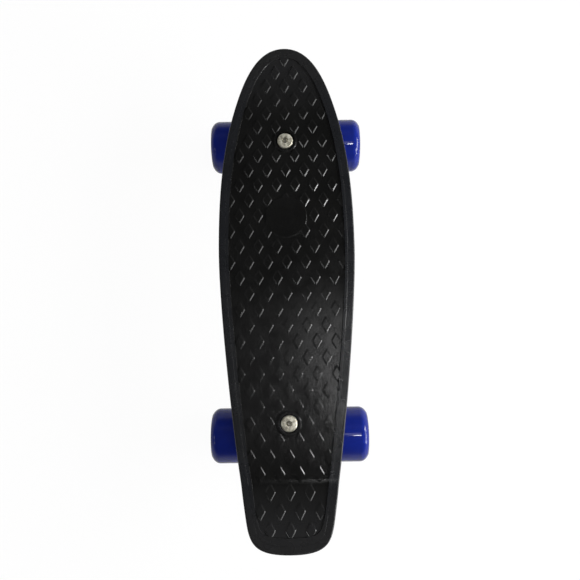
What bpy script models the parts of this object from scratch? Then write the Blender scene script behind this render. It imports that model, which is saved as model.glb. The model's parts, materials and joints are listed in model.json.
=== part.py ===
"""A seventeen inch plastic mini skateboard: one moulded deck, two trucks and four wheels on ball bearings.

X runs across the board, +Y points to the nose and +Z up. The wheels stand on z = 0, and the
origin lies on the floor under the middle of the board.
"""
import math

import bmesh
import bpy
from mathutils import Matrix, Vector

MM = 0.001
MERGE = 0.01 * MM
GAP = 0.3 * MM

# Deck, seen from above
DECK_LENGTH = 434.4 * MM
DECK_WIDTH = 119.2 * MM
WIDEST_FORWARD = 34.0 * MM
NOSE_HANDLE = 26.0 * MM
SHOULDER_SETBACK = 58.6 * MM
SHOULDER_HALF_WIDTH = 45.8 * MM
SHOULDER_TURN = math.radians(16.0)
SHOULDER_HANDLE_SHARE = 0.5
FRONT_HANDLE_SHARE = 0.333
REAR_HANDLE_SHARE = 0.222
TAIL_SETBACK = 29.8 * MM
TAIL_HALF_WIDTH = 37.3 * MM
TAIL_TURN = math.radians(10.9)
TAIL_CORNER_SHARE = 0.667
TAIL_HANDLE = 32.7 * MM
OUTLINE_STEPS = 8

# Deck, through its thickness
DECK_WALL = 4.5 * MM
EDGE_DEPTH = 12.5 * MM
SKIRT_WALL = 3.2 * MM
EDGE_ROUND = 2.4 * MM
UNDER_EDGE_ROUND = 0.8 * MM
MARGIN_WIDTH = 8.6 * MM
TAIL_MARGIN_EXTRA = 3.2 * MM
FIELD_RECESS = 1.0 * MM
RIB_WALL = 2.4 * MM
RIB_DEPTH = 5.5 * MM
RIB_SPACING = 40.0 * MM
LONG_RIB_OFFSET = 14.0 * MM
KICK_ANGLE = math.radians(22.0)
KICK_SETBACK = 45.4 * MM
KICK_LENGTH = 5.5 * MM
NOSE_LIFT_SETBACK = 47.3 * MM
NOSE_LIFT_SPACING = 14.0 * MM
NOSE_LIFT_LINES = 3
NOSE_LIFT_SLOPE = 0.04

# Raised lozenges, in rows that step by half a column
ROW_PITCH = 13.87 * MM
COLUMN_PITCH = 16.5 * MM
LOZENGE_WIDTH = 9.2 * MM
LOZENGE_LENGTH = 15.4 * MM
LOZENGE_HEIGHT = 0.8 * MM
LOZENGE_TOP_SHARE = 0.76
EVEN_ROWS = 14
ROW_CLOSING = 0.085 * MM

# Smooth round disc on the deck
DISC_DIAMETER = 37.2 * MM
DISC_HEIGHT = 0.9 * MM
DISC_SETBACK = 69.8 * MM
RAISED_EDGE = 0.8 * MM

# Where the trucks are bolted on
WHEELBASE_SHARE = 0.5715
BOLTS_FORWARD = 7.2 * MM
BOLT_BOSS_DIAMETER = 21.4 * MM
BOLT_BOSS_HEIGHT = 1.1 * MM
COUNTERBORE_DIAMETER = 16.4 * MM
COUNTERBORE_DEPTH = 4.0 * MM
PAD_THICKNESS = 2.5 * MM
POCKET_WALL = 3.0 * MM
POCKET_GRIP = 4.2 * MM

# Kingpin bolt and the stack that it clamps
KINGPIN_DIAMETER = 8.0 * MM
HEAD_DIAMETER = 14.0 * MM
HEAD_HEIGHT = 4.4 * MM
HEAD_CROWN_DIAMETER = 7.7 * MM
HEAD_SHOULDER_DIAMETER = 11.5 * MM
HEAD_RIM = 1.1 * MM
SOCKET_SIZE = 5.0 * MM
SOCKET_DEPTH = 2.6 * MM
THREAD_SHOWING = 1.4 * MM
KINGPIN_NUT_HEIGHT = 8.0 * MM
LOCK_COLLAR_HEIGHT = 2.0 * MM
NUT_SIZE = 13.0 * MM
CUP_WASHER_DIAMETER = 24.0 * MM
CUP_WASHER_THICKNESS = 1.2 * MM
CUP_LIP_DEPTH = 1.3 * MM
CUP_LIP_WALL = 1.0 * MM
BUSHING_DIAMETER = 21.0 * MM
UPPER_BUSHING_HEIGHT = 9.0 * MM
LOWER_BUSHING_HEIGHT = 7.5 * MM
LOWER_BUSHING_TIP = 17.0 * MM
BUSHING_EDGE = 1.0 * MM

# Base plate
PLATE_WIDTH = 42.0 * MM
PLATE_INBOARD = 19.0 * MM
PLATE_OUTBOARD = 40.0 * MM
PLATE_THICKNESS = 5.5 * MM
PLATE_CORNER = 5.0 * MM
PLATE_CORNER_STEPS = 2
SEAT_DIAMETER = 26.0 * MM
SEAT_HEIGHT = 3.7 * MM

# Steering axis and the pivot that lies on it, measured along it from the middle of the hanger's ring
STEER_RISE = math.radians(20.0)
NECK_START = 17.0 * MM
NECK_END = 25.2 * MM
NECK_DIAMETER = 11.0 * MM
PIVOT_END = 33.5 * MM
PIVOT_DIAMETER = 10.0 * MM
PIVOT_CLEARANCE = 0.5 * MM
PIVOT_ROUND = 1.2 * MM
CUP_MOUTH = 26.2 * MM
CUP_LIP = 1.0 * MM
CUP_LIP_DIAMETER = 18.0 * MM
CUP_DIAMETER = 16.0 * MM
CUP_FLOOR = 1.9 * MM
PIVOT_BOSS_DIAMETER = 22.0 * MM
PIVOT_BOSS_BACK = 3.5 * MM

# Hanger
RING_DIAMETER = 30.0 * MM
RING_THICKNESS = 6.0 * MM
RING_EDGE = 0.8 * MM
RING_HOLE_DIAMETER = 11.2 * MM
RING_ABOVE_AXLE = 25.9 * MM
AXLE_SETBACK = 15.3 * MM
HOUSING_DIAMETER = 16.0 * MM
HOUSING_END_DIAMETER = 14.4 * MM
HOUSING_TAPER = 9.0 * MM
HOUSING_TIP_DIAMETER = 11.4 * MM
WEB_THICKNESS = 7.0 * MM
WEB_SETBACK = 13.5 * MM
WEB_TOP_WIDTH = 18.0 * MM
WEB_FOOT_WIDTH = 56.0 * MM
WEB_ABOVE_RING = 6.0 * MM

# Wheels and what is inside them
TRACK = 113.8 * MM
WHEEL_DIAMETER = 50.0 * MM
WHEEL_WIDTH = 30.8 * MM
WHEEL_CORNER = 6.8 * MM
WHEEL_DOME = 0.9 * MM
WHEEL_CLEARANCE = 1.5 * MM
HUB_MOUTH_DIAMETER = 26.0 * MM
HUB_RIB_BORE = 18.6 * MM
BEARING_DIAMETER = 22.0 * MM
BEARING_BORE = 8.0 * MM
BEARING_WIDTH = 7.0 * MM
BEARING_SPREAD = 6.0 * MM
BEARING_SHIFT = 4.5 * MM
INNER_RING_DIAMETER = 12.0 * MM
OUTER_RING_BORE = 18.4 * MM
SHIELD_THICKNESS = 0.4 * MM
SHIELD_GAP = 0.5 * MM
BALL_DIAMETER = 3.8 * MM
BALL_CIRCLE = 15.2 * MM
BALL_COUNT = 7
GROOVE_SHARE = 0.85
CAGE_WALL = 0.8 * MM
CAGE_WIDTH = 1.8 * MM
AXLE_WASHER_DIAMETER = 12.6 * MM
AXLE_WASHER_THICKNESS = 1.2 * MM
AXLE_NUT_HEIGHT = 6.5 * MM
AXLE_SHOWING = 0.7 * MM
AXLE_CHAMFER = 0.6 * MM

# How many flat sides a turned piece has
FINE = 24
MEDIUM = 16
COARSE = 12

# Colours as linear red, green and blue
DECK_BLACK = (0.010, 0.010, 0.011)
WHEEL_BLUE = (0.012, 0.016, 0.260)
BRIGHT_STEEL = (0.46, 0.45, 0.41)
BEARING_STEEL = (0.55, 0.55, 0.56)
CAST_METAL = (0.36, 0.37, 0.38)
TRUCK_BLACK = (0.020, 0.020, 0.022)
BUSHING_WHITE = (0.62, 0.60, 0.54)
RUBBER_BLACK = (0.015, 0.015, 0.015)
CAGE_BRASS = (0.50, 0.36, 0.14)

# Heights above the floor, stacked up from the axle
axle_height = WHEEL_DIAMETER / 2
ring_height = axle_height + RING_ABOVE_AXLE
ring_top = RING_THICKNESS / 2
upper_bushing_top = ring_top + GAP + UPPER_BUSHING_HEIGHT
upper_washer_top = upper_bushing_top + GAP + CUP_WASHER_THICKNESS
seat_face = upper_washer_top + GAP
plate_under = seat_face + SEAT_HEIGHT
plate_top = plate_under + PLATE_THICKNESS
pad_under = ring_height + plate_top + GAP
deck_under = pad_under + PAD_THICKNESS
field_floor = deck_under + DECK_WALL
deck_top = field_floor + FIELD_RECESS
boss_top = field_floor + BOLT_BOSS_HEIGHT
head_seat = boss_top - COUNTERBORE_DEPTH
edge_under = deck_top - EDGE_DEPTH

# The same stack down from the ring to the end of the bolt, in the truck's own frame
lower_bushing_under = -ring_top - GAP - LOWER_BUSHING_HEIGHT
lower_washer_under = lower_bushing_under - GAP - CUP_WASHER_THICKNESS
kingpin_nut_top = lower_washer_under - GAP
bolt_end = kingpin_nut_top - KINGPIN_NUT_HEIGHT - THREAD_SHOWING
bolt_shoulder = head_seat + GAP - ring_height

# Places along the board
front_bolt_y = BOLTS_FORWARD + DECK_LENGTH * WHEELBASE_SHARE / 2
rear_bolt_y = BOLTS_FORWARD - DECK_LENGTH * WHEELBASE_SHARE / 2
disc_y = front_bolt_y - DISC_SETBACK
kick_lines = [rear_bolt_y - KICK_SETBACK, rear_bolt_y - KICK_SETBACK - KICK_LENGTH]
nose_lines = [front_bolt_y + NOSE_LIFT_SETBACK + NOSE_LIFT_SPACING * line for line in range(NOSE_LIFT_LINES)]

# Places along the axle from the middle of the wheel, outboard positive
inner_bearing_face = -BEARING_SHIFT - BEARING_SPREAD / 2 - BEARING_WIDTH
outer_bearing_face = -BEARING_SHIFT + BEARING_SPREAD / 2 + BEARING_WIDTH
axle_washer_face = outer_bearing_face + GAP + AXLE_WASHER_THICKNESS
axle_nut_face = axle_washer_face + GAP + AXLE_NUT_HEIGHT
axle_radius = BEARING_BORE / 2 - GAP
axle_half = TRACK / 2 + axle_nut_face + AXLE_SHOWING


def new_collection(name):
    group = bpy.data.collections.new(name)
    bpy.context.scene.collection.children.link(group)
    return group


def new_material(name, colour, roughness, metallic=0.0):
    material = bpy.data.materials.new(name)
    material.use_nodes = True
    shader = material.node_tree.nodes["Principled BSDF"]
    shader.inputs["Base Color"].default_value = (*colour, 1.0)
    shader.inputs["Roughness"].default_value = roughness
    shader.inputs["Metallic"].default_value = metallic
    material.diffuse_color = (*colour, 1.0)
    return material


def new_object(name, mesh, group):
    obj = bpy.data.objects.new(name, mesh)
    group.objects.link(obj)
    return obj


def mesh_of(name, bm):
    mesh = bpy.data.meshes.new(name)
    bm.to_mesh(mesh)
    bm.free()
    return mesh


def guide(name, mesh):
    """A cutter or a shape that is joined to another, kept out of the parts."""
    obj = new_object(name, mesh, cutters)
    obj.hide_render = True
    obj.display_type = "WIRE"
    return obj


def place(name, mesh, material, parent=None, location=(0, 0, 0), rotation=(0, 0, 0)):
    """Put one named piece among the parts."""
    if not mesh.materials:
        mesh.materials.append(material)
    obj = new_object(name, mesh, parts)
    obj.parent = parent
    obj.location = location
    obj.rotation_euler = rotation
    return obj


def new_empty(name, location, turn=0.0):
    obj = new_object(name, None, parts)
    obj.empty_display_size = BEARING_DIAMETER
    obj.location = location
    obj.rotation_euler = (0, 0, turn)
    return obj


def boolean(obj, other, operation, self_crossing=False):
    step = obj.modifiers.new(other.name, "BOOLEAN")
    step.operation = operation
    step.object = other
    step.use_self = self_crossing


def settled(obj):
    """The mesh that an object's modifiers make, in the object's own frame."""
    depsgraph = bpy.context.evaluated_depsgraph_get()
    mesh = bpy.data.meshes.new_from_object(obj.evaluated_get(depsgraph))
    mesh.name = obj.name
    return mesh


def shade(mesh, angle=math.radians(35)):
    mesh.shade_smooth()
    mesh.set_sharp_from_angle(angle=angle)
    return mesh


def turned(name, profile, steps, closed=False):
    """Turn a profile of (radius, height) points about Z, with a flat side facing +X.

    The points run down the outer side. A closed profile goes back up inside, for a ring.
    """
    half = math.pi / steps
    points = [(radius * math.cos(half), radius * math.sin(half), height) for radius, height in profile]
    edges = [(start, start + 1) for start in range(len(points) - 1)]
    if closed:
        edges.append((len(points) - 1, 0))
    mesh = bpy.data.meshes.new(name)
    mesh.from_pydata(points, edges, [])
    obj = guide(name, mesh)
    screw = obj.modifiers.new("turn", "SCREW")
    screw.steps = screw.render_steps = steps
    screw.use_merge_vertices = True
    screw.merge_threshold = MERGE
    return obj


def box(name, low, high):
    low, high = Vector(low), Vector(high)
    bm = bmesh.new()
    bmesh.ops.create_cube(bm, size=1.0)
    bmesh.ops.scale(bm, vec=high - low, verts=bm.verts)
    bmesh.ops.translate(bm, vec=(high + low) / 2, verts=bm.verts)
    return guide(name, mesh_of(name, bm))


def across_flats(size):
    """The corner radius of a hexagon of this width across its flats."""
    return size / 2 / math.cos(math.pi / 6)


def hexagon(name, size, low, high):
    bm = bmesh.new()
    radius = across_flats(size)
    bmesh.ops.create_cone(bm, cap_ends=True, segments=6, radius1=radius, radius2=radius, depth=high - low)
    bmesh.ops.translate(bm, vec=(0, 0, (high + low) / 2), verts=bm.verts)
    return guide(name, mesh_of(name, bm))


def outline_curve():
    """Half of the deck's outline, nose to tail down its right side, as one Bezier spline."""
    half = DECK_LENGTH / 2
    shoulder = Vector((SHOULDER_HALF_WIDTH, half - SHOULDER_SETBACK, 0))
    widest = Vector((DECK_WIDTH / 2, WIDEST_FORWARD, 0))
    corner = Vector((TAIL_HALF_WIDTH, TAIL_SETBACK - half, 0))
    along_shoulder = Vector((math.sin(SHOULDER_TURN), -math.cos(SHOULDER_TURN), 0))
    along_corner = Vector((-math.sin(TAIL_TURN), -math.cos(TAIL_TURN), 0))
    front = (shoulder - widest).length * FRONT_HANDLE_SHARE
    rear = (corner - widest).length * REAR_HANDLE_SHARE
    stops = [
        (Vector((0, half, 0)), Vector((1, 0, 0)), NOSE_HANDLE, NOSE_HANDLE),
        (shoulder, along_shoulder, SHOULDER_SETBACK * SHOULDER_HANDLE_SHARE, front),
        (widest, Vector((0, -1, 0)), front, rear),
        (corner, along_corner, rear, TAIL_SETBACK * TAIL_CORNER_SHARE),
        (Vector((0, -half, 0)), Vector((-1, 0, 0)), TAIL_HANDLE, TAIL_HANDLE),
    ]
    curve = bpy.data.curves.new("outline", "CURVE")
    curve.dimensions = "2D"
    curve.fill_mode = "NONE"
    curve.resolution_u = OUTLINE_STEPS
    spline = curve.splines.new("BEZIER")
    spline.bezier_points.add(len(stops) - 1)
    for point, (stop, heading, back, ahead) in zip(spline.bezier_points, stops):
        point.co = stop
        point.handle_left_type = point.handle_right_type = "FREE"
        point.handle_left = stop - heading * back
        point.handle_right = stop + heading * ahead
    return guide("outline", curve)


def outline_points():
    """The whole outline, clockwise from the nose."""
    half = outline_curve()
    mesh = settled(half)
    right = [vertex.co.xy.copy() for vertex in mesh.vertices]
    bpy.data.objects.remove(half)
    left = [Vector((-point.x, point.y)) for point in reversed(right[1:-1])]
    return right + left


def inset(points, width, tail_extra=0.0):
    """Move an outline inward by a width, and by more where it faces the tail."""
    moved = []
    for index, point in enumerate(points):
        ahead = points[(index + 1) % len(points)]
        behind = points[index - 1]
        along = (ahead - behind).normalized()
        inward = Vector((along.y, -along.x))
        facing_tail = max(0.0, inward.y) ** 2
        moved.append(point + inward * (width + tail_extra * facing_tail))
    return moved


def slab(name, points, low, high):
    """An outline as a solid between two heights."""
    bm = bmesh.new()
    face = bm.faces.new([bm.verts.new((point.x, point.y, high)) for point in points])
    face.normal_update()
    if face.normal.z < 0:
        face.normal_flip()
    grown = bmesh.ops.extrude_face_region(bm, geom=[face])
    lowered = [item for item in grown["geom"] if isinstance(item, bmesh.types.BMVert)]
    bmesh.ops.translate(bm, vec=(0, 0, low - high), verts=lowered)
    bmesh.ops.recalc_face_normals(bm, faces=bm.faces)
    return guide(name, mesh_of(name, bm))


def half_width_at(points, y):
    """How far an outline reaches from the middle at this y."""
    reach = 0.0
    for index, point in enumerate(points):
        ahead = points[(index + 1) % len(points)]
        low, high = min(point.y, ahead.y), max(point.y, ahead.y)
        if low <= y <= high and high > low:
            share = (y - point.y) / (ahead.y - point.y)
            reach = max(reach, abs(point.x + (ahead.x - point.x) * share))
    return reach


def sink(bm, face, width, drop):
    """Inset a face evenly, then lower it."""
    bmesh.ops.inset_region(bm, faces=[face], thickness=width, use_even_offset=True)
    bmesh.ops.translate(bm, vec=(0, 0, -drop), verts=face.verts)


def deck_shell(points):
    """The bare moulding, flat: rounded edge, margin band, sunk field, skirt and hollow underside."""
    slope = math.sqrt(0.5)
    obj = slab("deck shell", points, edge_under + UNDER_EDGE_ROUND, deck_top - EDGE_ROUND)
    bm = bmesh.new()
    bm.from_mesh(obj.data)
    caps = sorted((face for face in bm.faces if len(face.verts) == len(points)),
                  key=lambda face: face.calc_center_median().z)
    under, top = caps
    sink(bm, top, EDGE_ROUND * (1 - slope), -EDGE_ROUND * slope)
    sink(bm, top, EDGE_ROUND * slope, -EDGE_ROUND * (1 - slope))
    sink(bm, top, MARGIN_WIDTH - EDGE_ROUND, 0)
    corner_y = TAIL_SETBACK - DECK_LENGTH / 2
    for vertex in top.verts:
        behind = max(0.0, corner_y - vertex.co.y) / (TAIL_SETBACK - MARGIN_WIDTH)
        vertex.co.y += TAIL_MARGIN_EXTRA * behind
    sink(bm, top, FIELD_RECESS, FIELD_RECESS)
    sink(bm, under, UNDER_EDGE_ROUND, UNDER_EDGE_ROUND)
    sink(bm, under, SKIRT_WALL - UNDER_EDGE_ROUND, 0)
    sink(bm, under, RAISED_EDGE, edge_under - deck_under)
    bm.to_mesh(obj.data)
    bm.free()
    return obj


def rib_grid(points):
    """Ribs under the deck, cut off inside its skirt."""
    low, high = deck_under - RIB_DEPTH, deck_under + RAISED_EDGE
    half = DECK_LENGTH / 2
    boxes = [(side * LONG_RIB_OFFSET, 0, RIB_WALL, DECK_LENGTH) for side in (-1, 1)]
    count = int(half / RIB_SPACING)
    boxes += [(0, disc_y + row * RIB_SPACING, DECK_WIDTH, RIB_WALL) for row in range(-2 * count, count)]
    bm = bmesh.new()
    for x, y, width, length in boxes:
        if abs(y) > half:
            continue
        made = bmesh.ops.create_cube(bm, size=1.0)["verts"]
        bmesh.ops.scale(bm, vec=(width, length, high - low), verts=made)
        bmesh.ops.translate(bm, vec=(x, y, (low + high) / 2), verts=made)
    obj = guide("ribs", mesh_of("ribs", bm))
    bounds = slab("rib bounds", inset(points, SKIRT_WALL - RAISED_EDGE), low - GAP, high + GAP)
    boolean(obj, bounds, "INTERSECT", self_crossing=True)
    return obj


def lozenge_field(points):
    """Raised lozenges over the whole sunk field, in rows laid out from the rear bolt."""
    field = inset(points, MARGIN_WIDTH)
    rows = range(-int(DECK_LENGTH / ROW_PITCH), int(DECK_LENGTH / ROW_PITCH))
    spread = 1 - LOZENGE_TOP_SHARE
    depth = 2 * LOZENGE_HEIGHT
    bm = bmesh.new()
    for row in rows:
        y = rear_bolt_y + ROW_PITCH * row - ROW_CLOSING * max(0, row - EVEN_ROWS) ** 2
        reach = half_width_at(field, y)
        shift = COLUMN_PITCH / 2 * (row % 2)
        columns = int(reach / COLUMN_PITCH) + 1
        for column in range(-columns, columns + 1):
            x = column * COLUMN_PITCH + shift
            if abs(x) >= reach:
                continue
            made = bmesh.ops.create_cone(bm, cap_ends=True, segments=4, radius1=1 + spread,
                                         radius2=LOZENGE_TOP_SHARE, depth=depth)["verts"]
            bmesh.ops.scale(bm, vec=(LOZENGE_WIDTH / 2, LOZENGE_LENGTH / 2, 1), verts=made)
            bmesh.ops.translate(bm, vec=(x, y, field_floor), verts=made)
    return guide("lozenges", mesh_of("lozenges", bm))


def raised_round(name, y, diameter, height):
    """A low round boss with a sloping edge on the sunk field."""
    radius = diameter / 2
    top = field_floor + height
    foot = field_floor - LOZENGE_HEIGHT
    obj = turned(name, [(0, top), (radius - RAISED_EDGE, top), (radius, field_floor), (radius, foot),
                        (0, foot)], 2 * MEDIUM)
    obj.location.y = y
    return obj


def bend(mesh):
    """Score the flat deck across at each bend line, then lift its nose and kick up its tail."""
    kick = math.tan(KICK_ANGLE) / len(kick_lines)
    bm = bmesh.new()
    bm.from_mesh(mesh)
    for y in kick_lines + nose_lines:
        every = bm.verts[:] + bm.edges[:] + bm.faces[:]
        bmesh.ops.bisect_plane(bm, geom=every, dist=MERGE, plane_co=(0, y, 0), plane_no=(0, 1, 0))
    for vertex in bm.verts:
        y = vertex.co.y
        vertex.co.z += sum(max(0.0, line - y) * kick for line in kick_lines)
        vertex.co.z += sum(max(0.0, y - line) * NOSE_LIFT_SLOPE for line in nose_lines)
    bm.to_mesh(mesh)
    bm.free()
    return mesh


def build_deck():
    """One plastic moulding, made flat with all its features and then bent."""
    points = outline_points()
    deck = deck_shell(points)
    boolean(deck, rib_grid(points), "UNION")
    for name, y, outboard in (("front", front_bolt_y, 1), ("rear", rear_bolt_y, -1)):
        ends = sorted((y - outboard * (PLATE_INBOARD + GAP), y + outboard * (PLATE_OUTBOARD + GAP)))
        side = PLATE_WIDTH / 2 + GAP
        grip = pad_under - POCKET_GRIP
        walls = box(name + " pocket walls", (-side - POCKET_WALL, ends[0] - POCKET_WALL, grip),
                    (side + POCKET_WALL, ends[1] + POCKET_WALL, deck_under + RAISED_EDGE))
        hollow = box(name + " pocket", (-side, ends[0], grip - EDGE_DEPTH), (side, ends[1], pad_under))
        boolean(deck, walls, "UNION")
        boolean(deck, hollow, "DIFFERENCE")
    boolean(deck, lozenge_field(points), "UNION")
    boolean(deck, raised_round("disc", disc_y, DISC_DIAMETER, DISC_HEIGHT), "UNION")
    for name, y in (("front", front_bolt_y), ("rear", rear_bolt_y)):
        boolean(deck, raised_round(name + " boss", y, BOLT_BOSS_DIAMETER, BOLT_BOSS_HEIGHT), "UNION")
        wide, narrow = COUNTERBORE_DIAMETER / 2, KINGPIN_DIAMETER / 2 + GAP
        above, below = boss_top + EDGE_DEPTH, edge_under - EDGE_DEPTH
        bore = turned(name + " counterbore", [(0, above), (wide, above), (wide, head_seat),
                                              (narrow, head_seat), (narrow, below), (0, below)], MEDIUM)
        bore.location.y = y
        boolean(deck, bore, "DIFFERENCE")
    place("deck", shade(bend(settled(deck)), math.radians(20)), deck_plastic)


def kingpin_mesh():
    """Round button-head bolt with a hexagon socket, its head up."""
    head, shank = HEAD_DIAMETER / 2, KINGPIN_DIAMETER / 2
    top = bolt_shoulder + HEAD_HEIGHT
    profile = [(0, top), (HEAD_CROWN_DIAMETER / 2, top), (HEAD_SHOULDER_DIAMETER / 2, top - HEAD_RIM),
               (head, bolt_shoulder + HEAD_RIM), (head, bolt_shoulder), (shank, bolt_shoulder),
               (shank, bolt_end + AXLE_CHAMFER), (shank - AXLE_CHAMFER, bolt_end), (0, bolt_end)]
    bolt = turned("kingpin bolt", profile, MEDIUM)
    socket = hexagon("kingpin socket", SOCKET_SIZE, top - SOCKET_DEPTH, top + SOCKET_DEPTH)
    boolean(bolt, socket, "DIFFERENCE")
    return shade(settled(bolt))


def nut_mesh(name, height, bore, collar):
    """Hexagon nut standing on z = 0, its upper corners chamfered, with a round collar if it locks."""
    corner = across_flats(NUT_SIZE)
    flat = NUT_SIZE / 2
    hex_top = height - collar
    nut = hexagon(name, NUT_SIZE, 0, hex_top)
    beyond = corner + GAP
    bounds = turned(name + " chamfers", [(0, hex_top), (flat, hex_top), (beyond, hex_top - (corner - flat)),
                                         (beyond, -GAP), (0, -GAP)], COARSE)
    boolean(nut, bounds, "INTERSECT")
    if collar:
        ring = flat - collar / 2
        boolean(nut, turned(name + " collar", [(0, height), (ring, height), (ring, hex_top - GAP),
                                               (0, hex_top - GAP)], COARSE), "UNION")
    hole = turned(name + " hole", [(0, height + GAP), (bore, height + GAP), (bore, -GAP), (0, -GAP)], COARSE)
    boolean(nut, hole, "DIFFERENCE")
    return shade(settled(nut))


def cup_washer_mesh():
    """Pressed steel cup that holds the end of a bushing, its lip down, its back on z = 0."""
    outer = CUP_WASHER_DIAMETER / 2
    inner = outer - CUP_LIP_WALL
    hole = KINGPIN_DIAMETER / 2 + GAP
    under = -CUP_WASHER_THICKNESS
    lip = under - CUP_LIP_DEPTH
    profile = [(hole, 0), (inner, 0), (outer, under), (outer, lip), (inner, lip), (inner, under),
               (hole, under)]
    return shade(settled(turned("cup washer", profile, MEDIUM, closed=True)))


def bushing_mesh(name, height, tip):
    """Soft ring on the kingpin, its wide end at z = 0 and the other end below."""
    wide, narrow = BUSHING_DIAMETER / 2, tip / 2
    hole = KINGPIN_DIAMETER / 2 + GAP
    profile = [(hole, 0), (wide - BUSHING_EDGE, 0), (wide, -BUSHING_EDGE), (narrow, BUSHING_EDGE - height),
               (narrow - BUSHING_EDGE, -height), (hole, -height)]
    return shade(settled(turned(name, profile, MEDIUM, closed=True)))


def along_steer(obj):
    """Turn an upright guide so that its Z follows the steering axis."""
    obj.rotation_euler.x = STEER_RISE - math.pi / 2
    return obj


def hanger_mesh():
    """Casting that carries the axle: a ring on the kingpin, a web, the axle housing and a pivot nose."""
    ring = RING_DIAMETER / 2
    hanger = turned("hanger", [(0, ring_top), (ring - RING_EDGE, ring_top), (ring, ring_top - RING_EDGE),
                               (ring, RING_EDGE - ring_top), (ring - RING_EDGE, -ring_top),
                               (0, -ring_top)], MEDIUM)
    web = box("hanger web", (-WEB_TOP_WIDTH / 2, WEB_SETBACK, -RING_ABOVE_AXLE),
              (WEB_TOP_WIDTH / 2, WEB_SETBACK + WEB_THICKNESS, WEB_ABOVE_RING))
    for vertex in web.data.vertices:
        if vertex.co.z < 0:
            vertex.co.x *= WEB_FOOT_WIDTH / WEB_TOP_WIDTH
    tip = TRACK / 2 + inner_bearing_face - GAP
    end = TRACK / 2 - WHEEL_WIDTH / 2 - WHEEL_CLEARANCE
    wide, slim, nose = HOUSING_DIAMETER / 2, HOUSING_END_DIAMETER / 2, HOUSING_TIP_DIAMETER / 2
    side = [(0, tip), (nose, tip), (nose, end), (slim, end), (slim, end - HOUSING_TAPER / 2),
            (wide, end - 3 * HOUSING_TAPER)]
    housing = turned("axle housing", side + [(radius, -x) for radius, x in reversed(side)], COARSE)
    housing.location = (0, AXLE_SETBACK, -RING_ABOVE_AXLE)
    housing.rotation_euler.y = math.pi / 2
    neck, pivot = NECK_DIAMETER / 2, PIVOT_DIAMETER / 2
    pivot_nose = along_steer(turned("pivot nose", [
        (0, PIVOT_END), (pivot - PIVOT_ROUND, PIVOT_END), (pivot, PIVOT_END - PIVOT_ROUND), (pivot, NECK_END),
        (neck, NECK_END - PIVOT_ROUND / 2), (neck, NECK_START), (0, NECK_START)], COARSE))
    for piece in (web, housing, pivot_nose):
        boolean(hanger, piece, "UNION")
    hole = RING_HOLE_DIAMETER / 2
    boolean(hanger, turned("ring hole", [(0, RING_THICKNESS), (hole, RING_THICKNESS), (hole, -RING_THICKNESS),
                                         (0, -RING_THICKNESS)], COARSE), "DIFFERENCE")
    bore = axle_radius + GAP
    axle_bore = turned("axle bore", [(0, TRACK), (bore, TRACK), (bore, -TRACK), (0, -TRACK)], COARSE)
    axle_bore.location = housing.location
    axle_bore.rotation_euler.y = math.pi / 2
    boolean(hanger, axle_bore, "DIFFERENCE")
    return shade(settled(hanger))


def pivot_cup_mesh():
    """Plastic cup round the pivot nose, its Z along the steering axis."""
    bore = PIVOT_DIAMETER / 2 + PIVOT_CLEARANCE
    floor = PIVOT_END + GAP
    outer, lip = CUP_DIAMETER / 2, CUP_LIP_DIAMETER / 2
    profile = [(0, floor + CUP_FLOOR), (outer, floor + CUP_FLOOR), (outer, CUP_MOUTH + CUP_LIP),
               (lip, CUP_MOUTH + CUP_LIP), (lip, CUP_MOUTH), (bore, CUP_MOUTH), (bore, floor), (0, floor)]
    return shade(settled(turned("pivot cup", profile, COARSE)))


def base_plate_mesh():
    """Moulded plate in the deck's pocket, with a bushing seat and a slanted boss for the pivot cup."""
    low, high = seat_face + SEAT_HEIGHT, plate_top
    plate = box("base plate", (-PLATE_WIDTH / 2, -PLATE_INBOARD, low),
                (PLATE_WIDTH / 2, PLATE_OUTBOARD, high))
    corners = plate.modifiers.new("corners", "BEVEL")
    corners.width = PLATE_CORNER
    corners.segments = PLATE_CORNER_STEPS
    corners.limit_method = "WEIGHT"
    weights = plate.data.attributes.new("bevel_weight_edge", "FLOAT", "EDGE")
    for edge in plate.data.edges:
        ends = [plate.data.vertices[index].co for index in edge.vertices]
        upright = abs(ends[0].z - ends[1].z) > PLATE_THICKNESS / 2
        weights.data[edge.index].value = 1.0 if upright else 0.0
    seat = SEAT_DIAMETER / 2
    boolean(plate, turned("bushing seat", [(0, high - GAP), (seat + SEAT_HEIGHT, high - GAP),
                                           (seat + SEAT_HEIGHT, low), (seat, seat_face), (0, seat_face)],
                          MEDIUM), "UNION")
    bore = CUP_DIAMETER / 2 + GAP
    blind = PIVOT_END + GAP + CUP_FLOOR + GAP
    face = CUP_MOUTH + CUP_LIP + GAP
    boss = PIVOT_BOSS_DIAMETER / 2
    boss_back = blind + PIVOT_BOSS_BACK
    boss_obj = along_steer(turned("pivot boss", [(0, boss_back), (boss, boss_back), (boss, face - GAP / 2),
                                                 (0, face - GAP / 2)], MEDIUM))
    trim = box("above the plate", (-PLATE_WIDTH, -PLATE_OUTBOARD, high - GAP),
               (PLATE_WIDTH, 2 * PLATE_OUTBOARD, high + PLATE_WIDTH))
    boolean(boss_obj, trim, "DIFFERENCE")
    boolean(plate, boss_obj, "UNION")
    relief = CUP_LIP_DIAMETER / 2 + GAP
    boolean(plate, along_steer(turned("pivot bore", [(0, blind), (bore, blind), (bore, face), (relief, face),
                                                     (relief, NECK_START), (0, NECK_START)], COARSE)),
            "DIFFERENCE")
    hole = KINGPIN_DIAMETER / 2 + GAP
    boolean(plate, turned("kingpin hole", [(0, 2 * high), (hole, 2 * high), (hole, 0), (0, 0)], COARSE),
            "DIFFERENCE")
    return shade(settled(plate))


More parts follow.
